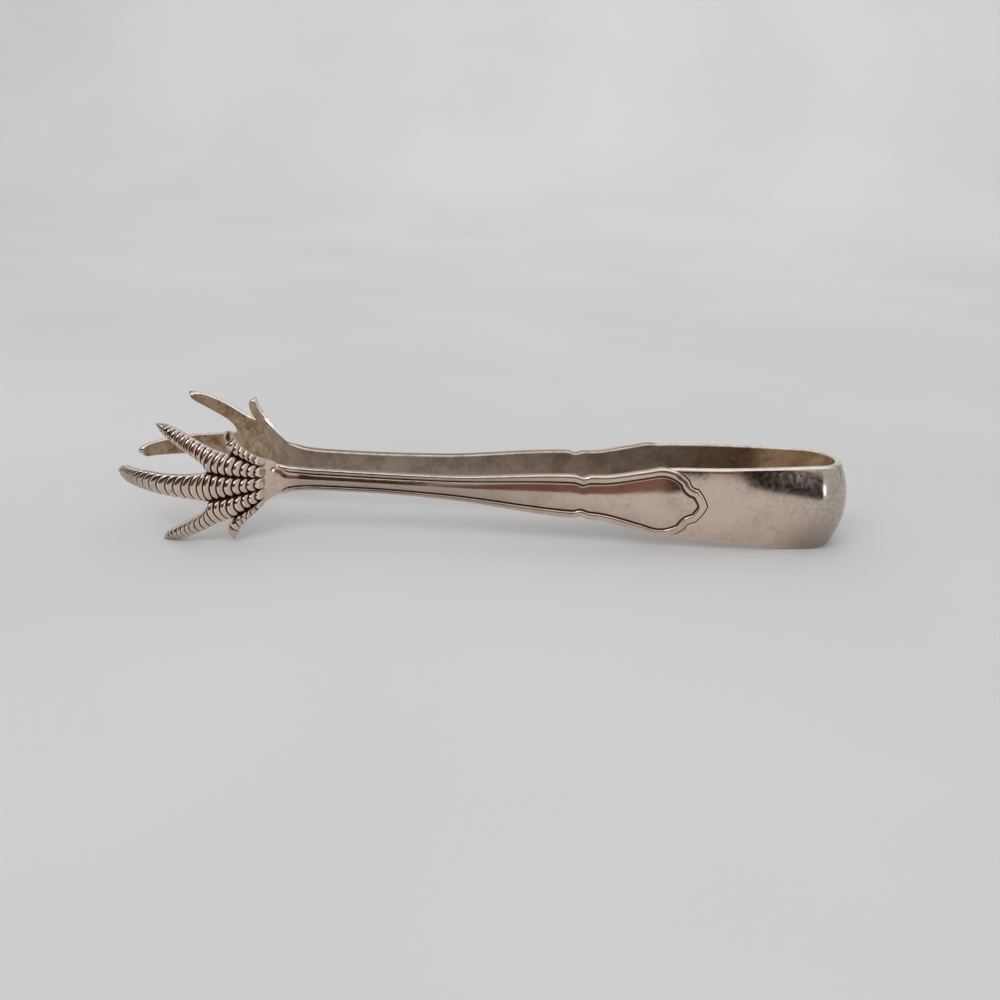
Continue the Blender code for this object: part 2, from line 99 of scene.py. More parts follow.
half_gap_at_shank = 0.0043
half_gap_at_neck = 0.0055
hub_to_neck = 0.0018
middle_toe_length = 0.0259
middle_toe_tip_width = 0.0016
long_toe_length = 0.0185
long_toe_height = 0.0091
long_toe_tip_width = 0.0010
spur_length = 0.0085
spur_height = 0.0086
spur_tip_width = 0.0011
middle_fork_length = 0.0115
middle_fork_height = 0.00235
spur_fork_length = 0.0080
spur_fork_height = 0.0051
palm_half_gap = 0.0108
palm_length = 0.0140
middle_tip_half_gap = 0.0044
spur_curl = 0.0017
claw_edge_thickness = 0.0006
neck_thickness = 0.0011
toe_bulge = 0.0006
scale_arc = 0.0007
smooth_neck = 0.0017
edgewise_arch = 0.00038
rings_to_spur_fork = 5
rings_to_middle_fork = 8
rings_on_spur = 7
rings_on_long_toe = 18
rings_on_middle_toe = 24
rings_that_straighten = 5
nail_stretch = 1.0
nail_end_share = 0.25
nail_squareness = 2.0
lay_slope = 0.0203462

# Tolerances, the mark of a toe's edge without a neighbour, and the slot of the inside material
WELD = 1e-6
ON_CAP = 2e-6
NOT_SHARED = -1
INSIDE = 1
SLOPE_STEP = 1e-4

# Places along the tongs, with the bow where the solids have it
x_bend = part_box("spring_bow")[1][0] - bend_radius - strip_thickness - bend_bulge
x_cartouche_tip = x_bend - leg_length
x_waist = x_cartouche_tip - cartouche_length
x_shank = x_waist - waist_length
x_neck = x_shank - shank_length
x_hub = x_neck + hub_to_neck
claw_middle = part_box("front_claw")[1][2] / 2

# Finer forms than the solids have
rim_radius = 0.00042
hairline = 0.00002
tilt_run = 0.001
first_turn = 0.003
horn_run = (-0.0004, 0.0006)
field_lift = 0.00005
under_face = 0.00025
under_face_inset = 0.00005
under_layer_thickness = 0.00055
under_layer_run_in = 0.0012
under_layer_thinning = (0.0004, 0.003)
end_flange = 0.0002
border_groove = 0.00006
border_groove_width = 0.00038
thread_squareness = 2.6
neck_drop = 0.0007
neck_squareness = 4
neck_rings = (-0.2, 1.5)
swell_rings = (-0.8, 0.6)
fork_rings = (-0.6, 1.2)
ring_crowding = 0.45
furthest_curl = 1.2
toe_crown_power = 0.8
pad_relief = 0.00042
pad_power = 0.6
nail_relief_share = 0.45
nail_step_rings = 0.1
ring_squareness = 2.4
bead_squareness = 4.5
bead_width_share = 0.97
scale_lean = 0.32
scale_lean_phases = (0.1, 0.85)
tip_rings = 6
tip_relief_loss = 0.3

# Dirt and painted shade, wear and painted highlights on the metal, 0 to 1, and the shares, phases and
# fullness of a scale that they lie between
underside_painted_shade = 0.6
free_groove_dirt_and_shade = 0.74
free_groove_shares = (0.003, 0.035)
front_groove_fullness = (0.30, 0.80)
back_groove_fullness = (0.08, 0.40)
deepest_fullness = (0.02, 0.34)
lip_start_phases = (0.58, 0.76)
lip_end_phases = (0.88, 0.94)
lip_fullness = (0.25, 0.5)
nail_dirt = 0.24
nail_wear_and_highlight = 0.6
rim_wear_and_highlight_width = 0.0006
toe_wear_and_highlight_share = 0.04

# Wear and painted highlights at shares of the border's width
thread_wear_and_highlight = (
    (0.03, 1.0),
    (0.08, 1.0),
    (0.16, 0.7),
    (0.30, 0.2),
    (0.5, 0.0),
    (0.70, 0.0),
    (0.84, 0.3),
    (0.92, 0.6),
    (0.97, 0.5),
)

# Fineness of the meshes. The band's columns near its rims lie at these distances from them
bend_rows = 44
leg_rows = 30
under_layer_rows = 130
from_rim = (0.0, 0.00002, 0.00006, 0.00012, 0.0002, 0.0003, 0.00042, 0.0007)
band_columns = 18
arm_face_rows = 230
arc_steps = 14
field_columns = 20
smooth_rows = 8
row_phases = (0.0, 0.04, 0.09, 0.15, 0.23, 0.34, 0.48, 0.62, 0.74, 0.83, 0.90, 0.95)
toe_columns = 24


def ramp(value, start, end):
    """0 at start, 1 at end, with a smooth rise between them."""
    share = min(max((value - start) / (end - start), 0.0), 1.0)
    return share * share * (3 - 2 * share)


def through(stations, x):
    """Height at x of a smooth curve through (x, height) stations that doesn't overshoot them."""
    if x <= stations[0][0]:
        return stations[0][1]
    if x >= stations[-1][0]:
        return stations[-1][1]
    slopes = [(b[1] - a[1]) / (b[0] - a[0]) for a, b in zip(stations, stations[1:])]
    index = next(i for i, station in enumerate(stations[1:]) if x <= station[0])
    (x0, y0), (x1, y1) = stations[index], stations[index + 1]

    def tangent(i):
        before = slopes[max(i - 1, 0)]
        after = slopes[min(i, len(slopes) - 1)]
        if before * after <= 0:
            return 0.0
        return 2 * before * after / (before + after)

    span = x1 - x0
    t = (x - x0) / span
    start, end = tangent(index) * span, tangent(index + 1) * span
    return y0 + (3 * t * t - 2 * t**3) * (y1 - y0) + (t - 2 * t * t + t**3) * start + (t**3 - t * t) * end


def bezier(points, t):
    """Point at share t of a Bezier curve through its first and last control point."""
    points = [Vector(point) for point in points]
    while len(points) > 1:
        points = [a.lerp(b, t) for a, b in zip(points, points[1:])]
    return points[0]


def shares(count):
    return [i / count for i in range(count + 1)]


def arc(centre, radius, start, end, steps):
    return [
        Vector((centre.x + radius * math.cos(angle), centre.y + radius * math.sin(angle)))
        for angle in (start + (end - start) * t for t in shares(steps))
    ]


def angle_of(centre, point):
    return math.atan2(point.y - centre.y, point.x - centre.x)


def meeting(centre_a, radius_a, centre_b, radius_b):
    """Crossing of two circles that lies on the right of the line from centre a to centre b."""
    across = centre_b - centre_a
    distance = across.length
    along = (radius_a**2 - radius_b**2 + distance**2) / (2 * distance)
    side = math.sqrt(max(radius_a**2 - along**2, 0.0))
    across.normalize()
    return centre_a + across * along + Vector((across.y, -across.x)) * side


# The strip's path and outline, as in the solids


def leg_line(x):
    start = Vector((x_bend + bend_radius * math.sin(leg_spread), bend_radius * math.cos(leg_spread)))
    end = Vector((x_cartouche_tip, half_gap_at_cartouche))
    span = start.x - end.x
    t = min(max((start.x - x) / span, 0.0), 1.0)
    leaving = math.tan(leg_spread) * span
    return start.y + (t - 2 * t * t + t**3) * leaving + (3 * t * t - 2 * t**3) * (end.y - start.y)


def gap_stations():
    palm = x_hub - palm_length
    tip = x_hub - middle_toe_length
    toe_rise = palm_half_gap - middle_tip_half_gap
    palm_rise = palm_half_gap - half_gap_at_neck
    neck_rise = half_gap_at_neck - half_gap_at_shank
    waist_rise = half_gap_at_waist - half_gap_at_shank
    return [
        (tip - 0.05 * (palm - tip), middle_tip_half_gap - 0.12 * toe_rise),
        (tip, middle_tip_half_gap),
        (tip + 0.15 * (palm - tip), middle_tip_half_gap + 0.36 * toe_rise),
        (tip + 0.38 * (palm - tip), middle_tip_half_gap + 0.66 * toe_rise),
        (tip + 0.68 * (palm - tip), middle_tip_half_gap + 0.92 * toe_rise),
        (palm, palm_half_gap),
        (x_hub - 0.70 * palm_length, half_gap_at_neck + 0.90 * palm_rise),
        (x_hub - 0.42 * palm_length, half_gap_at_neck + 0.60 * palm_rise),
        (x_neck, half_gap_at_neck),
        (x_neck + 0.67 * neck_run_out, half_gap_at_shank + 0.08 * neck_rise),
        (x_neck + 1.50 * neck_run_out, half_gap_at_shank),
        (x_shank, half_gap_at_shank + 0.93 * waist_rise),
        (x_waist, half_gap_at_waist),
        (x_cartouche_tip, half_gap_at_cartouche),
    ]


STATIONS = gap_stations()


def half_gap(x):
    """Half gap between the inner faces at x, from the middle toe's tip to the bow's legs."""
    if x > x_cartouche_tip:
        return leg_line(x)
    return through(STATIONS, x)


def arm_half_width(x):
    widths = [
        (x_neck, neck_width),
        (x_neck + 0.42 * neck_run_out, shank_width + 0.38 * (neck_width - shank_width)),
        (x_neck + neck_run_out, shank_width + 0.06 * (neck_width - shank_width)),
        (x_neck + 0.32 * shank_length, shank_width),
        (x_neck + 0.56 * shank_length, shank_middle_width),
        (x_shank, waist_width - waist_taper),
        (x_waist, waist_width),
        (x_waist + 0.40 * cartouche_length, waist_width + 0.68 * (cartouche_width - waist_width)),
        (shoulder_start().x, cartouche_width),
        (x_cartouche_tip, cartouche_width),
    ]
    notch = (x - (x_waist + x_shank) / 2) / (notch_length / 2)
    return through(widths, x) / 2 - notch_depth * math.exp(-notch * notch)


def towards_waist(x):
    return ramp(x, x_neck + 0.52 * shank_length, x_waist)


def border_width(x):
    return shank_border + (cartouche_border - shank_border) * towards_waist(x)


def strip_half_width(x):
    share = min(max((x_bend - x) / (leg_length + horn_length), 0.0), 1.0)
    return (bow_width + (leg_end_width - bow_width) * share) / 2


def crown_half_width(x):
    """The strip's half width without the corner at the end of its taper, for the curve across it."""
    tapered = ramp(-x, -x_bend, leg_length + horn_length - x_bend)
    return (bow_width + (leg_end_width - bow_width) * tapered) / 2


def bulge_at(x):
    on_leg = leg_bulge * ramp(x, x_shank, x_cartouche_tip)
    share = min(max((x - x_bend + bulge_run_out) / (bend_radius + bulge_run_out), 0.0), 1.0)
    return on_leg + (bend_bulge - leg_bulge) * share**1.5


def lobe_radius():
    """Radius of each side of the pointed lobe."""
    chord = math.hypot(lobe_length, lobe_width / 2)
    return (chord**2 / 4 + lobe_bow**2) / (2 * lobe_bow)


def lobe_centre():
    corner = Vector((-lobe_length, lobe_width / 2))
    out = Vector((corner.y, -corner.x)).normalized()
    return Vector((x_cartouche_tip, 0.0)) + corner / 2 - out * (lobe_radius() - lobe_bow)


def cut_radius():
    """Radius of the hollow between the lobe and the shoulder, which leaves the lobe along the tongs."""
    rise = (cut_width - lobe_width) / 2
    run = cut_setback - lobe_length
    return (run**2 + rise**2) / (2 * rise)


def cut_centre():
    return Vector((x_cartouche_tip - lobe_length, lobe_width / 2 + cut_radius()))


def shoulder_radius():
    """Radius of the shoulder, which leaves the cartouche's side smoothly and ends at the hollow."""
    rise = (cartouche_width - cut_width) / 2
    run = shoulder_setback - cut_setback
    return (run**2 + rise**2) / (2 * rise)


def shoulder_start():
    return Vector((x_cartouche_tip - shoulder_setback, cartouche_width / 2))


def shoulder_centre():
    return shoulder_start() - Vector((0.0, shoulder_radius()))


def field_height(x, across):
    """Rise of the domed field between the borders, down to nothing at the cartouche's tip."""
    dome = shank_dome + (cartouche_dome - shank_dome) * towards_waist(x)
    dome *= ramp(x, x_neck, x_neck + border_run_out)
    end = shoulder_start().x
    if x > end:
        dome *= 1 - min((x - end) / (x_cartouche_tip - cartouche_border - end), 1.0) ** 2
    half = arm_half_width(min(x, end)) - border_width(x)
    return dome * (1 - min(abs(across) / half, 1.0) ** 2)


def cartouche_end(inset, steps):
    """Half outline of the cartouche's end, moved into the cartouche by inset, from its side to its tip."""
    upper = meeting(cut_centre(), cut_radius() + inset, shoulder_centre(), shoulder_radius() - inset)
    lower = meeting(lobe_centre(), lobe_radius() - inset, cut_centre(), cut_radius() + inset)
    turned = angle_of(shoulder_centre(), upper)
    shoulder = arc(shoulder_centre(), shoulder_radius() - inset, math.pi / 2, turned, steps)
    cut_start = angle_of(cut_centre(), upper) % (2 * math.pi)
    cut_end = angle_of(cut_centre(), lower) % (2 * math.pi)
    cut = arc(cut_centre(), cut_radius() + inset, cut_start, cut_end, steps)
    tip = math.asin(-lobe_centre().y / (lobe_radius() - inset))
    lobe = arc(lobe_centre(), lobe_radius() - inset, angle_of(lobe_centre(), lower), tip, steps)
    return shoulder + cut[1:] + lobe[1:]


def arch_at(x):
    share = max(x_bend - x, 0.0) / (x_bend - x_hub + middle_toe_length)
    return 4 * edgewise_arch * share * (1 - share)


def settle(point):
    """Lays the straight tongs down: the bow's rim stays level, and the claw end rises onto its toes."""
    rise = lay_slope * max(x_bend - point.x, 0.0) + arch_at(point.x)
    return Vector((point.x, point.y, point.z + bow_width / 2 + rise))


def on_arm(x, across, depth):
    """Place on the front arm at a height across it and a depth above its inner face."""
    crown = bulge_at(x) * (1 - (across / crown_half_width(x)) ** 2)
    return settle(Vector((x, -(half_gap(x) + crown + depth), across)))


# Mesh helpers


def new_mesh():
    """Mesh whose points remember their row, column and toe, with wear and painted highlight (rim) and dirt
    and painted shade (shade) for the materials.
    """
    mesh = bmesh.new()
    for name in ("row", "column", "toe"):
        mesh.verts.layers.int.new(name)
    for name in ("rim", "shade"):
        mesh.verts.layers.float.new(name)
    return mesh


def layers_of(mesh):
    """Layers of the mesh for row, column, toe, rim and shade."""
    whole, real = mesh.verts.layers.int, mesh.verts.layers.float
    return whole["row"], whole["column"], whole["toe"], real["rim"], real["shade"]


def add_sheet(mesh, rows, columns, place, toe=0):
    """Grid of rows and columns, moved point by point onto place(row, column)."""
    row_layer, column_layer, toe_layer, *_ = layers_of(mesh)
    grid = bmesh.ops.create_grid(mesh, x_segments=rows, y_segments=columns, size=0.5)
    for vert in grid["verts"]:
        row = round((vert.co.x + 0.5) * rows)
        column = round((vert.co.y + 0.5) * columns)
        vert[row_layer], vert[column_layer], vert[toe_layer] = row, column, toe
        vert.co = place(row, column)


def thicken(mesh):
    """Gives the sheet a second side and walls round its edge. Returns the points of the new side."""
    bmesh.ops.remove_doubles(mesh, verts=mesh.verts, dist=WELD)
    made = bmesh.ops.extrude_face_region(mesh, geom=mesh.faces[:])
    return {item for item in made["geom"] if isinstance(item, bmesh.types.BMVert)}


def paint_inside(mesh, outer):
    """Faces whose points all belong to the inner side take the inside material."""
    for face in mesh.faces:
        if not any(vert in outer for vert in face.verts):
            face.material_index = INSIDE


def new_object(mesh, name, materials):
    """Object in the scene from a bmesh, which is freed."""
    data = bpy.data.meshes.new(name)
    mesh.to_mesh(data)
    mesh.free()
    for material in materials:
        data.materials.append(material)
    made = bpy.data.objects.new(name, data)
    bpy.context.scene.collection.objects.link(made)
    return made


def shade_smooth(piece):
    for polygon in piece.data.polygons:
        polygon.use_smooth = True


def finish(mesh, name, materials, axis, cap):
    """Object from a bmesh, faces outward. Edges round the flat cap at this place on the axis stay crisp."""
    bmesh.ops.remove_doubles(mesh, verts=mesh.verts, dist=WELD)
    bmesh.ops.dissolve_degenerate(mesh, edges=mesh.edges, dist=WELD)
    bmesh.ops.recalc_face_normals(mesh, faces=mesh.faces)

    def on_cap(item):
        return all(abs(vert.co[axis] - cap) < ON_CAP for vert in item.verts)

    for edge in mesh.edges:
        if on_cap(edge) and sum(on_cap(face) for face in edge.link_faces) == 1:
            edge.smooth = False
    piece = new_object(mesh, name, materials)
    shade_smooth(piece)
    return piece


def mirrored_piece(piece, name):
    """The same piece on the other side of the tongs."""
    mesh = bmesh.new()
    mesh.from_mesh(piece.data)
    bmesh.ops.scale(mesh, vec=(1.0, -1.0, 1.0), verts=mesh.verts)
    bmesh.ops.reverse_faces(mesh, faces=mesh.faces)
    return new_object(mesh, name, piece.data.materials)


def over_notch(per_length, count):
    """Rows over the notch: so many to its length, and count to either side of its middle."""
    middle = (x_waist + x_shank) / 2
    return [middle + notch_length * t / per_length for t in range(-count, count + 1)]


# The band: half of the bend, a leg, and the layer that runs on under the arm's face


def band_rows():
    """The band's rows from the middle of the bend to the neck: place, way outward, half width, thickness."""
    rows = []
    turn = math.pi / 2 - leg_spread
    for angle in [0.0, first_turn] + [turn * t for t in shares(bend_rows)[1:]]:
        out = Vector((math.cos(angle), -math.sin(angle)))
        place = Vector((x_bend, 0.0)) + bend_radius * out
        rows.append((place, out, strip_half_width(place.x), strip_thickness))
    leg_start = x_bend + bend_radius * math.sin(leg_spread)
    places = [leg_start + (x_cartouche_tip - leg_start) * t for t in shares(leg_rows)[1:]]
    places += [x_cartouche_tip + (x_neck - x_cartouche_tip) * t for t in shares(under_layer_rows)[1:]]
    places += over_notch(8, 9)
    run_out = x_cartouche_tip - horn_length
    for x in sorted(places, reverse=True):
        slope = (half_gap(x + SLOPE_STEP) - half_gap(x - SLOPE_STEP)) / (2 * SLOPE_STEP)
        tilt = ramp(x, x_cartouche_tip - tilt_run, x_cartouche_tip + tilt_run)
        out = Vector((-slope * tilt, -1.0)).normalized()
        half = strip_half_width(x)
        thickness = strip_thickness
        if x < run_out:
            under = ramp(run_out - x, 0.0, under_layer_run_in)
            edge = arm_half_width(min(x, shoulder_start().x)) - under_face_inset
            half += (edge - half) * under
            thickness += (under_layer_thickness - strip_thickness) * ramp(run_out - x, *under_layer_thinning)
        rows.append((Vector((x, -half_gap(x))), out, half, thickness))
    return rows


def make_band():
    """Front half of the band, with its rims rounded over."""
    columns = 2 * len(from_rim) - 1 + band_columns
    rows = band_rows()

    def across(half, column):
        if column < len(from_rim):
            return -half + from_rim[column]
        if column > columns - len(from_rim):
            return half - from_rim[columns - column]
        inner = half - from_rim[-1]
        return inner * (2 * (column - len(from_rim) + 1) / (band_columns + 1) - 1)

    def place(row, column, outer):
        spot, out, half, thickness = rows[row]
        height = across(half, column)
        radius = min(rim_radius, thickness / 2 - hairline)
        to_rim = max(radius - (half - abs(height)), 0.0)
        roll = radius - math.sqrt(max(radius**2 - to_rim**2, 0.0))
        crown = bulge_at(spot.x) * (1 - (height / crown_half_width(spot.x)) ** 2)
        depth = thickness - roll if outer else roll
        flat = spot + out * (crown + depth)
        return settle(Vector((flat.x, flat.y, height)))

    mesh = new_mesh()
    add_sheet(mesh, len(rows) - 1, columns, lambda row, column: place(row, column, False))
    outer = thicken(mesh)
    row_layer, column_layer, _, rim_layer, _ = layers_of(mesh)
    for vert in mesh.verts:
        row, column = vert[row_layer], vert[column_layer]
        vert.co = place(row, column, vert in outer)
        half = rows[row][2]
        # Wear and painted highlight along the band's rims
        vert[rim_layer] = 1 - ramp(half - abs(across(half, column)), 0.0, rim_wear_and_highlight_width)
    paint_inside(mesh, outer)
    return finish(mesh, "front_band", (outside_silver, inside_silver), axis=1, cap=0.0)


# The arm's face: raised borders with a dark line of dirt and painted shade inside them, and a low dome
# between


def arch(share):
    """Height of a flattened half-round thread at a share of its width."""
    return (1 - abs(2 * share - 1) ** thread_squareness) ** (1 / thread_squareness)


def face_profile(width, fade):
    """The border's section, from outside: distance from the edge, height above the strip, dirt and painted
    shade, and wear and painted highlight.
    """
    top = border_relief * fade
    dip = border_groove * fade
    section = [
        # Dirt and painted shade at the border's foot, where it stands on the strip
        (-end_flange, hairline, 1.0, 0.0),
        (-hairline, hairline, 1.0, 0.0),
        (0.0, 0.25 * top, 0.8, 0.0),
    ]
    section += [(share * width, top * arch(share), 0.0, wear_and_highlight) for share, wear_and_highlight in thread_wear_and_highlight]
    groove = border_groove_width * width / cartouche_border
    section += [
        # Dirt and painted shade in the groove inside the border
        (width, 0.25 * top, 0.6, 0.0),
        (width + 0.1 * groove, field_lift - dip, 1.0, 0.0),
        (width + 0.4 * groove, field_lift - dip, 1.0, 0.0),
        (width + 0.7 * groove, field_lift - 0.5 * dip, 0.65, 0.0),
        (width + groove, field_lift, 0.2, 0.0),
        (width + 1.4 * groove, field_lift, 0.0, 0.0),
    ]
    return section


def neck_shape(share):
    """Drop of the smooth neck at a share of its half width, so that it is rounded from edge to edge."""
    return neck_drop * min(abs(share), 1.0) ** neck_squareness


def arm_rows():
    """Places along the arm up to the cartouche's shoulder."""
    end = shoulder_start().x
    places = [x_neck, x_neck + hairline]
    places += [x_neck + (end - x_neck) * t for t in shares(arm_face_rows)[1:-1]]
    places += over_notch(16, 22)
    return sorted(places)


def make_arm_face():
    """Front arm's face: straight rows up to the shoulder, then rows round the cartouche's end."""
    straight = arm_rows()
    end_profile = face_profile(cartouche_border, 1.0)
    border_points = len(end_profile)
    columns = 2 * border_points - 1 + field_columns - 1
    end_rows = 3 * arc_steps
    rows = len(straight) + end_rows
    ends = [cartouche_end(inset, arc_steps) for inset, *_ in end_profile]

    def fade_at(x):
        return ramp(x, x_neck, x_neck + border_run_out)

    def section(row):
        """Half section at a row, from the edge to the field: x, distance across, height, dirt and painted
        shade, wear and painted highlight.
        """
        if row < len(straight):
            x = straight[row]
            width = arm_half_width(x)
            fade = fade_at(x)
            return [
                (x, width - max(inset, 0.0), height, dirt_and_shade * fade * (inset > 0), wear_and_highlight * fade)
                for inset, height, dirt_and_shade, wear_and_highlight in face_profile(border_width(x) * (0.5 + 0.5 * fade), fade)
            ]
        points = [end[row - len(straight)] for end in ends]
        horn = x_cartouche_tip - horn_length
        on_strip = ramp(points[1].x - horn, *horn_run)
        points[0] = points[1].lerp(points[0], on_strip)
        return [
            (point.x, point.y, height, dirt_and_shade * (1.0 if inset > 0 else on_strip), wear_and_highlight)
            for point, (inset, height, dirt_and_shade, wear_and_highlight) in zip(points, end_profile)
        ]

    sections = [section(row) for row in range(rows + 1)]
    field_start, field_end = sections[len(straight)][-1][0], sections[-1][-1][0]

    def place(row, column, outer):
        points = sections[row]
        side = 1 if column > columns / 2 else -1
        from_edge = min(column, columns - column)
        if from_edge < border_points:
            x, across, height = points[from_edge][:3]
            across *= side
        else:
            x, width, height = points[-1][:3]
            share = 2 * (column - border_points + 1) / field_columns - 1
            across = width * share
            if row > len(straight):
                even = field_start + (field_end - field_start) * (row - len(straight)) / end_rows
                x += (even - x) * (1 - share * share)
        if not outer:
            return on_arm(x, across, under_face)
        height += field_height(x, across)
        height -= neck_shape(across / arm_half_width(min(x, shoulder_start().x))) * (1 - fade_at(x))
        return on_arm(x, across, strip_thickness + height)

    mesh = new_mesh()
    add_sheet(mesh, rows, columns, lambda row, column: place(row, column, False))
    outer = thicken(mesh)
    row_layer, column_layer, _, rim_layer, shade_layer = layers_of(mesh)
    for vert in mesh.verts:
        row, column = vert[row_layer], vert[column_layer]
        vert.co = place(row, column, vert in outer)
        from_edge = min(column, columns - column)
        # The face's hidden side takes painted shade, which darkens its walls down to the strip
        if vert not in outer:
            vert[shade_layer] = underside_painted_shade
        elif from_edge < border_points:
            vert[shade_layer], vert[rim_layer] = sections[row][from_edge][3:]
    return finish(mesh, "front_arm_face", (outside_silver,), axis=0, cap=x_neck)


# The claws


def claw_half_gap(along, across):
    """Half gap of a claw's inner face, as a bowl round the hub whose spurs curl in further."""
    spread = ramp(along, hub_to_neck, spur_fork_length)
    reach = math.hypot(along, across * spread)
    turned = abs(math.atan2(across, along)) / math.atan2(spur_height, spur_length)
    return half_gap(x_hub - reach) - spur_curl * spread * min(turned, furthest_curl) ** 3


def on_claw(point, depth):
    """Place on the front claw of a point in the plan, at a depth above the claw's inner face."""
    along, across = point.x, point.y
    gap = claw_half_gap(along, across)
    if depth == 0.0:
        return settle(Vector((x_hub - along, -gap, across)))
    further = claw_half_gap(along + SLOPE_STEP, across)
    nearer = claw_half_gap(along - SLOPE_STEP, across)
    slope_along = (further - nearer) / (2 * SLOPE_STEP)
    higher = claw_half_gap(along, across + SLOPE_STEP)
    lower = claw_half_gap(along, across - SLOPE_STEP)
    slope_across = (higher - lower) / (2 * SLOPE_STEP)
    lean = ramp(along, hub_to_neck, spur_fork_length)
    out = Vector((-lean * slope_along, 1.0, -lean * slope_across)).normalized() * depth
    return settle(Vector((x_hub - along - out.x, -(gap + out.y), across + out.z)))


def split_edge(shared, free, shared_rings, rings):
    """Curve along one edge of a toe, by ring: shared with its neighbour up to the fork, and free beyond it.

    Rings below 0 are the smooth neck ahead of the first scale.
    """
    smooth = smooth_neck / ((len(shared) - 1) * (shared[1][0] - shared[0][0]))
    free_rings = rings - shared_rings + nail_stretch

    def place(ring):
        if ring <= 0:
            return bezier(shared, smooth * (1 + ring))
        if ring <= shared_rings:
            return bezier(shared, smooth + (1 - smooth) * ring / shared_rings)
        t = (ring - shared_rings + nail_stretch * max(ring - rings + 1, 0.0)) / free_rings
        t *= 1 + ring_crowding * (1 - t)
        return bezier(free, t if shared_rings else smooth + (1 - smooth) * t)

    return place


def toe_edges():
    """Toes of the claw: ring count, and the two edges with the rings that they share with a neighbour."""
    start = hub_to_neck
    half_neck = neck_width / 2
    spur_fork = (spur_fork_length, spur_fork_height)
    middle_fork = (middle_fork_length, middle_fork_height)
    spur_line = [
        (start, 0.62 * half_neck),
        (0.62 * spur_fork_length, 0.61 * spur_fork_height),
        spur_fork,
    ]
    middle_line = [
        (start, 0.22 * half_neck),
        (0.61 * middle_fork_length, 0.60 * middle_fork_height),
        middle_fork,
    ]
    half_spur_tip = spur_tip_width / 2
    half_long_tip = long_toe_tip_width / 2
    spur_outside = [
        (start, half_neck),
        (0.54 * spur_length, 0.51 * spur_height),
        (0.88 * spur_length, 0.66 * spur_height),
        (spur_length - half_spur_tip, spur_height),
    ]
    spur_inside = [
        spur_fork,
        (1.03 * spur_length, 0.69 * spur_height),
        (1.09 * spur_length, 0.86 * spur_height),
        (spur_length + half_spur_tip, spur_height),
    ]
    long_outside = [
        spur_fork,
        (0.58 * long_toe_length, 0.59 * long_toe_height),
        (0.76 * long_toe_length, 0.96 * long_toe_height),
        (long_toe_length - half_long_tip, long_toe_height + 0.6 * half_long_tip),
    ]
    long_inside = [
        middle_fork,
        (0.62 * long_toe_length, 0.50 * long_toe_height),
        (0.86 * long_toe_length, 0.64 * long_toe_height),
        (long_toe_length + half_long_tip, long_toe_height - 0.6 * half_long_tip),
    ]
    middle_side = [
        middle_fork,
        (0.55 * middle_toe_length, 0.6 * middle_fork_height),
        (0.91 * middle_toe_length, 0.72 * middle_fork_height),
        (middle_toe_length, middle_toe_tip_width / 2),
    ]
    to_spur, to_middle = rings_to_spur_fork, rings_to_middle_fork
    spur_outer = split_edge(spur_outside, spur_outside, 0, rings_on_spur)
    spur_inner = split_edge(spur_line, spur_inside, to_spur, rings_on_spur)
    long_outer = split_edge(spur_line, long_outside, to_spur, rings_on_long_toe)
    long_inner = split_edge(middle_line, long_inside, to_middle, rings_on_long_toe)
    middle = split_edge(middle_line, middle_side, to_middle, rings_on_middle_toe)
    return [
        (rings_on_spur, spur_outer, NOT_SHARED, spur_inner, to_spur),
        (rings_on_long_toe, long_outer, to_spur, long_inner, to_middle),
        (rings_on_middle_toe, middle, to_middle, mirrored(middle), to_middle),
        (rings_on_long_toe, mirrored(long_inner), to_middle, mirrored(long_outer), to_spur),
        (rings_on_spur, mirrored(spur_inner), to_spur, mirrored(spur_outer), NOT_SHARED),
    ]


def mirrored(edge):
    return lambda ring: Vector((edge(ring).x, -edge(ring).y))


def bead(phase, side, joined):
    """Fullness of a scale, 1 in its middle and 0 in the grooves. Joined ones are rounded beads."""
    along = abs(2 * phase - 1) ** ring_squareness
    return max(1 - along - joined * (side / bead_width_share) ** bead_squareness, 0.0)


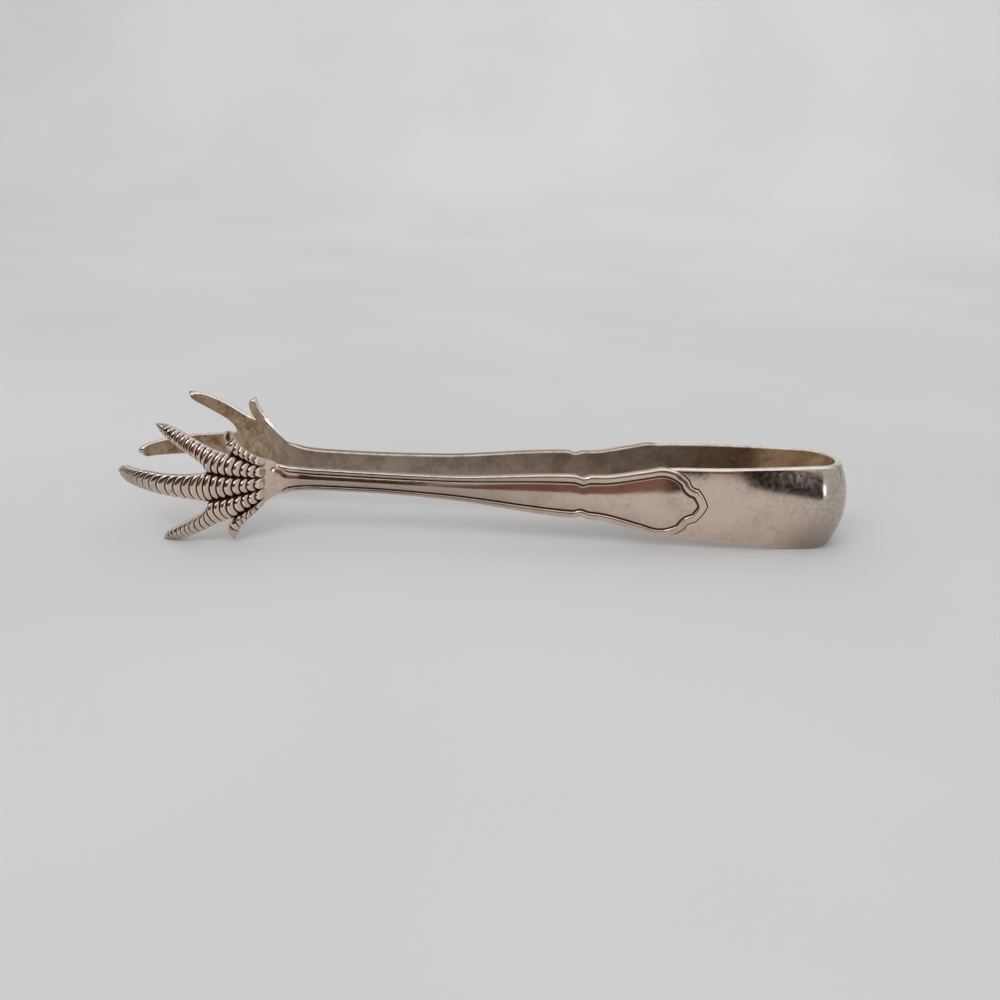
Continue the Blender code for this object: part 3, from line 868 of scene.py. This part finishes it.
def make_claw():
    toes = toe_edges()
    per_ring = len(row_phases)

    def ring_at(row):
        if row < smooth_rows:
            return row / smooth_rows - 1
        row -= smooth_rows
        return row // per_ring + row_phases[row % per_ring]

    def share_at(column):
        return 0.5 - 0.5 * math.cos(math.pi * column / toe_columns)

    def plan(toe, row, column):
        """Place of a point in the plan. The nails are rounded off."""
        rings, upper, _, lower, _ = toes[toe]
        ring = ring_at(row)
        top, bottom = upper(ring), lower(ring)
        middle = top.lerp(bottom, 0.5)
        full = 1 - (1 - min(rings - ring, 1.0)) ** nail_squareness
        rounding = nail_end_share + (1 - nail_end_share) * full ** (1 / nail_squareness)
        return middle + (top.lerp(bottom, share_at(column)) - middle) * rounding

    def shape(toe, row, column):
        """Height of the scale, how deep in a groove the point lies, for dirt and painted shade, and how near
        it is to a rim or lip, for wear and painted highlight.
        """
        rings, _, upper_shared, _, lower_shared = toes[toe]
        ring, t = ring_at(row), share_at(column)
        side = abs(2 * t - 1)
        shared = upper_shared if t < 0.5 else lower_shared
        joined = 0.0
        if shared != NOT_SHARED:
            joined = 1 - ramp(ring - shared, *fork_rings)
        # Wear and painted highlight along the toes' free edges
        edge = 1 - ramp(min(t, 1 - t), 0.0, toe_wear_and_highlight_share)
        if ring < 0:
            return 0.0, 0.0, edge * (shared == NOT_SHARED)
        if ring >= rings - 1:
            nail = ramp(ring - rings + 1, 0.0, nail_step_rings)
            return nail_relief_share * pad_relief * nail, max(1 - nail, nail_dirt), nail_wear_and_highlight * edge
        phase = ring % 1.0
        full = bead(phase, side, joined)
        lean = 1 - scale_lean + scale_lean * ramp(phase, *scale_lean_phases)
        small = 1 - tip_relief_loss * ramp(ring, rings - tip_rings, rings - 1)
        pad = pad_relief * small * lean * full**pad_power
        # Dirt and painted shade in the grooves between the scales
        softer = bead(phase, side, 0.5 * joined)
        clean = ramp(softer, *(front_groove_fullness if phase < 0.5 else back_groove_fullness))
        dark = 1 - min(clean, ramp(full, *deepest_fullness))
        dark *= joined + (1 - joined) * free_groove_dirt_and_shade * ramp(min(t, 1 - t), *free_groove_shares)
        # Painted highlight along each scale's lip
        lip = ramp(phase, *lip_start_phases) * (1 - ramp(phase, *lip_end_phases))
        lip *= ramp(full, *lip_fullness)
        return pad, dark * ramp(ring, 0.0, 0.5), max(edge * (1 - joined), lip)

    mesh = new_mesh()
    for toe, (rings, *_) in enumerate(toes):
        flat = lambda row, column: plan(toe, row, column).to_3d()
        add_sheet(mesh, smooth_rows + rings * per_ring, toe_columns, flat, toe)
    outer = thicken(mesh)
    row_layer, column_layer, toe_layer, rim_layer, shade_layer = layers_of(mesh)
    for vert in mesh.verts:
        toe, row, column = vert[toe_layer], vert[row_layer], vert[column_layer]
        rings, _, upper_shared, _, lower_shared = toes[toe]
        ring, t = ring_at(row), share_at(column)
        point = plan(toe, row, column)
        if vert not in outer:
            vert.co = on_claw(point, 0.0)
            free = ring > (upper_shared if t < 0.5 else lower_shared)
            vert[rim_layer] = (1 - ramp(min(t, 1 - t), 0.0, toe_wear_and_highlight_share)) * free
            continue
        pad, groove, rim = shape(toe, row, column)
        crown = 4 * t * (1 - t)
        straight = max(rings - 1 - ring, 0.0) / rings_that_straighten
        arched = crown * min(1.0, max(ring, 0.0), straight)
        forward = point + Vector((scale_arc * arched, 0.0))
        spread = ramp(point.x, hub_to_neck, spur_fork_length)
        edge = neck_thickness + (claw_edge_thickness - neck_thickness) * spread
        swell = toe_bulge * spread * ramp(ring, *swell_rings)
        height = edge + crown**toe_crown_power * swell + pad
        outermost = toes[0][1](min(ring, rings_on_spur)).y
        height -= neck_shape(point.y / outermost) * (1 - ramp(ring, *neck_rings))
        vert.co = on_claw(forward, height)
        vert[shade_layer] = groove
        vert[rim_layer] = rim
    paint_inside(mesh, outer)
    return finish(mesh, "front_claw_scales", (outside_silver, inside_silver), axis=0, cap=x_neck)


# Materials, with values that both share, the strength of each patch of patina and of the painted shade low on
# the bend

mottle_scale = 1500.0
line_stretch = (900.0, 9000.0, 9000.0)
wear_and_highlight_strength = 0.85
speck_strength = 0.3
dirt_and_shade_roughness = 0.22
bump_strength = 0.3
bump_depth = 0.00002
shank_patina = 0.62
low_painted_shade = 0.85
tip_patina = 0.75


def add_node(tree, kind, inputs=None, **settings):
    """Node with its settings, and with its inputs set or linked."""
    made = tree.nodes.new(kind)
    for name, value in settings.items():
        setattr(made, name, value)
    for name, value in (inputs or {}).items():
        if isinstance(value, bpy.types.NodeSocket):
            tree.links.new(value, made.inputs[name])
        else:
            made.inputs[name].default_value = value
    return made


def add_math(tree, operation, a, b=0.0, c=0.0):
    return add_node(tree, "ShaderNodeMath", {0: a, 1: b, 2: c}, operation=operation).outputs[0]


def add_mix(tree, factor, a, b):
    """Mix of two colours, by the sockets that a mix of colours uses."""
    return add_node(tree, "ShaderNodeMix", {0: factor, 6: a, 7: b}, data_type="RGBA").outputs[2]


def add_range(tree, value, low, high, to_low=0.0, to_high=1.0):
    """Smooth step of a value from low to high."""
    made = add_node(
        tree,
        "ShaderNodeMapRange",
        {"Value": value, "From Min": low, "From Max": high, "To Min": to_low, "To Max": to_high},
        interpolation_type="SMOOTHSTEP",
    )
    return made.outputs["Result"]


def add_noise(tree, place, scale, detail, roughness=0.5, distortion=0.0):
    made = add_node(
        tree,
        "ShaderNodeTexNoise",
        {"Vector": place, "Scale": scale, "Detail": detail, "Roughness": roughness, "Distortion": distortion},
    )
    return made.outputs["Fac"]


def new_group(name, vectors, numbers, results):
    """Shader node group with named sockets. Returns its tree, what goes in and its output node."""
    tree = bpy.data.node_groups.new(name, "ShaderNodeTree")
    for socket in vectors:
        tree.interface.new_socket(socket, in_out="INPUT", socket_type="NodeSocketVector")
    for socket in numbers:
        tree.interface.new_socket(socket, in_out="INPUT", socket_type="NodeSocketFloat")
    for socket in results:
        tree.interface.new_socket(socket, in_out="OUTPUT", socket_type="NodeSocketFloat")
    return tree, tree.nodes.new("NodeGroupInput").outputs, tree.nodes.new("NodeGroupOutput")


def make_tarnish_group():
    """Cloudy tarnish on the plate: a mask of broad clouds broken up by fine mottling."""
    tree, given, end = new_group(
        "tarnish_clouds",
        vectors=("Place",),
        numbers=("Cloud Scale", "Mottle Scale", "Cover"),
        results=("Clouds", "Mottle"),
    )
    clouds = add_noise(tree, given["Place"], given["Cloud Scale"], 5.0, 0.62, 0.4)
    mottle = add_noise(tree, given["Place"], given["Mottle Scale"], 4.0, 0.6)
    broken = add_math(tree, "MULTIPLY_ADD", mottle, 0.5, -0.25)
    lifted = add_math(tree, "ADD", add_math(tree, "ADD", clouds, broken), given["Cover"])
    tree.links.new(add_range(tree, lifted, 0.85, 1.2), end.inputs["Clouds"])
    tree.links.new(mottle, end.inputs["Mottle"])
    return tree


def make_polish_group():
    """Height of old polishing: fine lines that run with the piece, scattered dents and pinpricks."""
    tree, given, end = new_group(
        "polishing_marks",
        vectors=("Place", "Stretch"),
        numbers=(),
        results=("Height", "Pits"),
    )
    drawn = add_node(
        tree,
        "ShaderNodeVectorMath",
        {0: given["Place"], 1: given["Stretch"]},
        operation="MULTIPLY",
    )
    lines = add_noise(tree, drawn.outputs[0], 1.0, 3.0, 0.7)
    dents = add_noise(tree, given["Place"], 380.0, 2.0)
    pricks = add_node(tree, "ShaderNodeTexVoronoi", {"Vector": given["Place"], "Scale": 700.0})
    chosen = add_node(tree, "ShaderNodeTexWhiteNoise", {"Vector": pricks.outputs["Position"]})
    few = add_math(tree, "GREATER_THAN", chosen.outputs["Value"], 0.96)
    spot = add_range(tree, pricks.outputs["Distance"], 0.22, 0.08)
    pits = add_math(tree, "MULTIPLY", spot, few)
    soft = add_math(tree, "MULTIPLY_ADD", lines, 0.25, dents)
    height = add_math(tree, "MULTIPLY_ADD", pits, -0.6, soft)
    tree.links.new(height, end.inputs["Height"])
    tree.links.new(pits, end.inputs["Pits"])
    return tree


def make_wear_and_highlight_group():
    """Bright worn metal and painted highlights along rims and lips, broken up a little."""
    tree, given, end = new_group(
        "worn_and_highlit_rims",
        vectors=("Place",),
        numbers=("Rim", "Strength"),
        results=("Worn And Highlit",),
    )
    patchy = add_range(tree, add_noise(tree, given["Place"], 900.0, 2.0), 0.3, 0.6, 0.55, 1.0)
    edge = add_range(tree, given["Rim"], 0.25, 0.9)
    worn_and_highlit = add_math(tree, "MULTIPLY", add_math(tree, "MULTIPLY", edge, patchy), given["Strength"])
    tree.links.new(worn_and_highlit, end.inputs["Worn And Highlit"])
    return tree


tarnish_clouds = make_tarnish_group()
polishing_marks = make_polish_group()
worn_and_highlit_rims = make_wear_and_highlight_group()


def use_group(tree, group, inputs):
    return add_node(tree, "ShaderNodeGroup", inputs, node_tree=group)


def new_material(name):
    """Material with its tree and its shader."""
    material = bpy.data.materials.new(name)
    material.use_nodes = True
    return material, material.node_tree, material.node_tree.nodes["Principled BSDF"]


def add_patina(tree, place, mottle, colour, olive, brown):
    """Olive on the bend, in blotches, and on the toes' ends. Brown on the shank, and brown low down on the
    bend as painted shade.
    """
    parts = add_node(tree, "ShaderNodeSeparateXYZ", {"Vector": place})
    along, height = parts.outputs["X"], parts.outputs["Z"]
    on_bend = add_range(tree, along, x_bend - 0.0030, x_bend + 0.0030)
    past_neck = add_range(tree, along, x_neck, x_neck + 0.005, 0.0, shank_patina)
    before_waist = add_range(tree, along, x_waist + 0.004, x_waist - 0.022)
    on_shank = add_math(tree, "MULTIPLY", past_neck, before_waist)
    blotches = add_range(tree, mottle, 0.35, 0.62, 0.45, 1.0)
    colour = add_mix(tree, add_math(tree, "MULTIPLY", on_bend, blotches), colour, olive)
    colour = add_mix(tree, on_shank, colour, brown)
    # Painted shade: the bend darker towards the bottom, in the patina's brown
    near_bend = add_range(tree, along, x_bend - 0.0080, x_bend + 0.0005)
    low_down = add_range(tree, height, 0.0095, 0.0010, 0.0, low_painted_shade)
    colour = add_mix(tree, add_math(tree, "MULTIPLY", near_bend, low_down), colour, brown)
    across = add_math(tree, "ABSOLUTE", add_math(tree, "SUBTRACT", height, claw_middle))
    reach = add_math(tree, "SUBTRACT", add_math(tree, "MULTIPLY", across, 0.45), along)
    on_tips = add_range(tree, reach, 0.0185 - x_hub, 0.0240 - x_hub, 0.0, tip_patina)
    return add_mix(tree, on_tips, colour, olive)


def plated(name, clean, stained, deep, bright, cover, roughness, cloud_scale, metallic, patina=None):
    """Silver plate: clean metal under cloudy stains, dark where dirt and painted shade lie, bright along rims
    with wear and painted highlights.

    Clean and stained are colours, or functions that make them in the material's tree. Patina is a pair of
    colours, olive and brown.
    """
    material, tree, shader = new_material(name)
    shader.inputs["Metallic"].default_value = metallic
    place = add_node(tree, "ShaderNodeTexCoord").outputs["Object"]
    shade = add_node(tree, "ShaderNodeAttribute", attribute_name="shade").outputs["Fac"]
    rim = add_node(tree, "ShaderNodeAttribute", attribute_name="rim").outputs["Fac"]
    clouds = use_group(
        tree,
        tarnish_clouds,
        {"Place": place, "Cloud Scale": cloud_scale, "Mottle Scale": mottle_scale, "Cover": cover},
    )
    mottle = clouds.outputs["Mottle"]
    marks = use_group(tree, polishing_marks, {"Place": place, "Stretch": line_stretch})
    worn_and_highlit = use_group(tree, worn_and_highlit_rims, {"Place": place, "Rim": rim, "Strength": wear_and_highlight_strength})
    if callable(clean):
        clean, stained = clean(tree, place), stained(tree, place)
    colour = add_mix(tree, clouds.outputs["Clouds"], clean, stained)
    if patina:
        colour = add_patina(tree, place, mottle, colour, *patina)
    # The shade attribute darkens the colour with dirt and painted shade
    dirt_and_shade = add_range(tree, shade, 0.1, 0.85)
    colour = add_mix(tree, dirt_and_shade, colour, deep)
    specked = add_math(tree, "MULTIPLY", marks.outputs["Pits"], speck_strength)
    colour = add_mix(tree, specked, colour, deep)
    # Wear and painted highlights brighten rims and lips
    colour = add_mix(tree, worn_and_highlit.outputs["Worn And Highlit"], colour, bright)
    tree.links.new(colour, shader.inputs["Base Color"])
    rough = add_range(tree, mottle, 0.3, 0.7, roughness - 0.03, roughness + 0.06)
    gloss = add_math(tree, "MULTIPLY_ADD", dirt_and_shade, dirt_and_shade_roughness, rough)
    tree.links.new(gloss, shader.inputs["Roughness"])
    surface = add_node(
        tree,
        "ShaderNodeBump",
        {"Strength": bump_strength, "Distance": bump_depth, "Height": marks.outputs["Height"]},
    )
    tree.links.new(surface.outputs["Normal"], shader.inputs["Normal"])
    return material


def along_the_inside(claw, shank, leg, bend):
    """Colour that changes along the inside, from the claws to the shank, the legs and the bend."""

    def make(tree, place):
        along = add_node(tree, "ShaderNodeSeparateXYZ", {"Vector": place}).outputs["X"]
        past_neck = add_range(tree, along, x_neck - 0.0075, x_neck + 0.001)
        past_shank = add_range(tree, along, x_waist + 0.012, x_cartouche_tip + 0.009)
        past_leg = add_range(tree, along, x_bend - 0.0085, x_bend - 0.0045)
        arm = add_mix(tree, past_shank, add_mix(tree, past_neck, claw, shank), leg)
        return add_mix(tree, past_leg, arm, bend)

    return make


outside_silver = plated(
    "outside_silver",
    clean=(0.74, 0.59, 0.50, 1),
    stained=(0.60, 0.465, 0.385, 1),
    deep=(0.070, 0.038, 0.023, 1),
    bright=(0.92, 0.87, 0.81, 1),
    cover=0.45,
    roughness=0.13,
    cloud_scale=220.0,
    metallic=1.0,
    patina=((0.43, 0.405, 0.35, 1), (0.36, 0.29, 0.25, 1)),
)
inside_silver = plated(
    "inside_silver",
    clean=along_the_inside(
        claw=(0.50, 0.38, 0.25, 1),
        shank=(0.39, 0.30, 0.235, 1),
        leg=(0.27, 0.17, 0.10, 1),
        bend=(0.78, 0.58, 0.38, 1),
    ),
    stained=along_the_inside(
        claw=(0.25, 0.14, 0.07, 1),
        shank=(0.25, 0.19, 0.14, 1),
        leg=(0.15, 0.085, 0.045, 1),
        bend=(0.48, 0.35, 0.21, 1),
    ),
    deep=(0.05, 0.03, 0.02, 1),
    bright=(0.88, 0.82, 0.74, 1),
    cover=0.50,
    roughness=0.36,
    cloud_scale=300.0,
    metallic=0.6,
)

# Camera, floor and light

camera_place = (-0.00628, -0.15798, 0.06382)
camera_right = Vector((0.9983, -0.0299, 0.0496))
camera_up = Vector((-0.0360, 0.3510, 0.9357))
camera_view = Vector((0.0454, 0.9359, -0.3493))
floor_front = -1.2
floor_back = 0.42
floor_radius = 0.25
floor_rise = 1.2
floor_width = 5.0

# Name, left end, right end, distance in front of the tongs, top, colour
flags = (
    ("umber_flag", -0.45, -0.02, 0.085, 0.095, (0.13, 0.08, 0.06, 1)),
    ("brown_flag", -0.02, 0.045, 0.11, 0.055, (0.41, 0.23, 0.175, 1)),
    ("slate_flag", 0.045, 0.056, 0.11, 0.055, (0.06, 0.055, 0.06, 1)),
    ("rust_flag", 0.066, 0.110, 0.15, 0.06, (0.30, 0.17, 0.12, 1)),
    ("black_flag", 0.072, 0.1005, 0.075, 0.092, (0.010, 0.010, 0.012, 1)),
)
flag_foot = 0.001

# Name, place, target, width and height, power
lamps = (
    ("overhead", (0.20, -0.05, 0.75), (0.05, 0.0, 0.0), (0.9, 0.7), 0.7),
    ("key", (-0.35, -0.45, 0.60), (-0.03, 0.0, 0.0), (0.45, 0.30), 1.2),
    ("backdrop", (0.15, 0.35, 0.50), (0.15, 0.67, 0.15), (0.8, 0.1), 0.55),
    ("glint", (0.207, -0.20, 0.026), (0.053, -0.01, 0.01), (0.024, 0.036), 0.013),
)


def make_camera():
    """Camera where the photograph was taken from."""
    data = bpy.data.cameras.new("camera")
    data.lens = 36.0
    data.sensor_width = 36.0
    data.clip_start = 0.005
    data.clip_end = 20.0
    camera = bpy.data.objects.new("camera", data)
    bpy.context.scene.collection.objects.link(camera)
    turned = Matrix((camera_right, camera_up, -camera_view)).transposed().to_4x4()
    camera.matrix_world = Matrix.Translation(camera_place) @ turned
    bpy.context.scene.camera = camera


def make_floor():
    """Pale sheet that lies under the tongs and curves up behind them."""
    mesh = bmesh.new()
    grid = bmesh.ops.create_grid(mesh, x_segments=2, y_segments=60, size=0.5)
    radius = floor_radius
    flat = floor_back - floor_front
    bend = radius * math.pi / 2
    for vert in grid["verts"]:
        run = (vert.co.y + 0.5) * (flat + bend + floor_rise)
        x = vert.co.x * floor_width
        if run < flat:
            vert.co = (x, floor_front + run, 0.0)
        elif run < flat + bend:
            angle = (run - flat) / radius
            vert.co = (x, floor_back + radius * math.sin(angle), radius - radius * math.cos(angle))
        else:
            vert.co = (x, floor_back + radius, radius + run - flat - bend)
    material, tree, shader = new_material("pale_floor")
    shader.inputs["Roughness"].default_value = 0.9
    shader.inputs["Specular IOR Level"].default_value = 0.2
    place = add_node(tree, "ShaderNodeTexCoord").outputs["Object"]
    patches = add_range(tree, add_noise(tree, place, 9.0, 3.0), 0.3, 0.7)
    colour = add_mix(tree, patches, (0.72, 0.72, 0.719, 1), (0.76, 0.76, 0.759, 1))
    tree.links.new(colour, shader.inputs["Base Color"])
    floor = new_object(mesh, "floor", (material,))
    shade_smooth(floor)


def add_lamp(name, place, target, size, power):
    """Flat lamp of a width and height, turned to its target."""
    data = bpy.data.lights.new(name, "AREA")
    data.shape = "RECTANGLE"
    data.size, data.size_y = size
    data.energy = power
    lamp = bpy.data.objects.new(name, data)
    bpy.context.scene.collection.objects.link(lamp)
    towards = Vector(target) - Vector(place)
    turned = towards.to_track_quat("-Z", "Y").to_matrix().to_4x4()
    lamp.matrix_world = Matrix.Translation(place) @ turned


def add_flag(name, left, right, distance, top, colour):
    """Dark cloth that stands in front of the tongs and shows only in the silver's reflections."""
    mesh = bmesh.new()
    grid = bmesh.ops.create_grid(mesh, x_segments=1, y_segments=1, size=0.5)
    for vert in grid["verts"]:
        vert.co = (right if vert.co.x > 0 else left, -distance, top if vert.co.y > 0 else flag_foot)
    material, tree, shader = new_material(name)
    place = add_node(tree, "ShaderNodeTexCoord").outputs["Object"]
    nap = add_noise(tree, place, 6.0, 2.0)
    darker = tuple(0.7 * value for value in colour[:3]) + (1,)
    tree.links.new(add_mix(tree, nap, darker, colour), shader.inputs["Base Color"])
    shader.inputs["Roughness"].default_value = 1.0
    shader.inputs["Specular IOR Level"].default_value = 0.0
    flag = new_object(mesh, name, (material,))
    flag.visible_camera = False
    flag.visible_diffuse = False
    flag.visible_shadow = False


def make_world():
    world = bpy.data.worlds.new("room")
    world.use_nodes = True
    world.node_tree.nodes["Background"].inputs["Color"].default_value = (0.62, 0.62, 0.625, 1)
    bpy.context.scene.world = world


make_camera()
make_floor()
make_world()
for flag in flags:
    add_flag(*flag)
for lamp in lamps:
    add_lamp(*lamp)
bpy.context.scene.view_settings.view_transform = "Standard"

# The pieces, each front one mirrored to the rear

blend_margin = 0.001
front_band = make_band()
rear_band = mirrored_piece(front_band, "rear_band")
front_arm_face = make_arm_face()
rear_arm_face = mirrored_piece(front_arm_face, "rear_arm_face")
front_claw_scales = make_claw()
rear_claw_scales = mirrored_piece(front_claw_scales, "rear_claw_scales")

for band, arm, side in ((front_band, "front_arm", -1), (rear_band, "rear_arm", 1)):
    middle = bow_width / 2
    start = (x_bend + blend_margin, side * half_gap_at_cartouche, middle)
    end = (x_cartouche_tip + blend_margin, side * half_gap_at_cartouche, middle)
    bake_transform(band, "bow", arm, start=start, end=end)
    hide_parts("spring_bow")
for face, arm in ((front_arm_face, "front_arm"), (rear_arm_face, "rear_arm")):
    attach(face, arm)
    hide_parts(arm)
for claw, arm, node in (
    (front_claw_scales, "front_arm", "front_claw"),
    (rear_claw_scales, "rear_arm", "rear_claw"),
):
    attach(claw, arm)
    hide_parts(node)
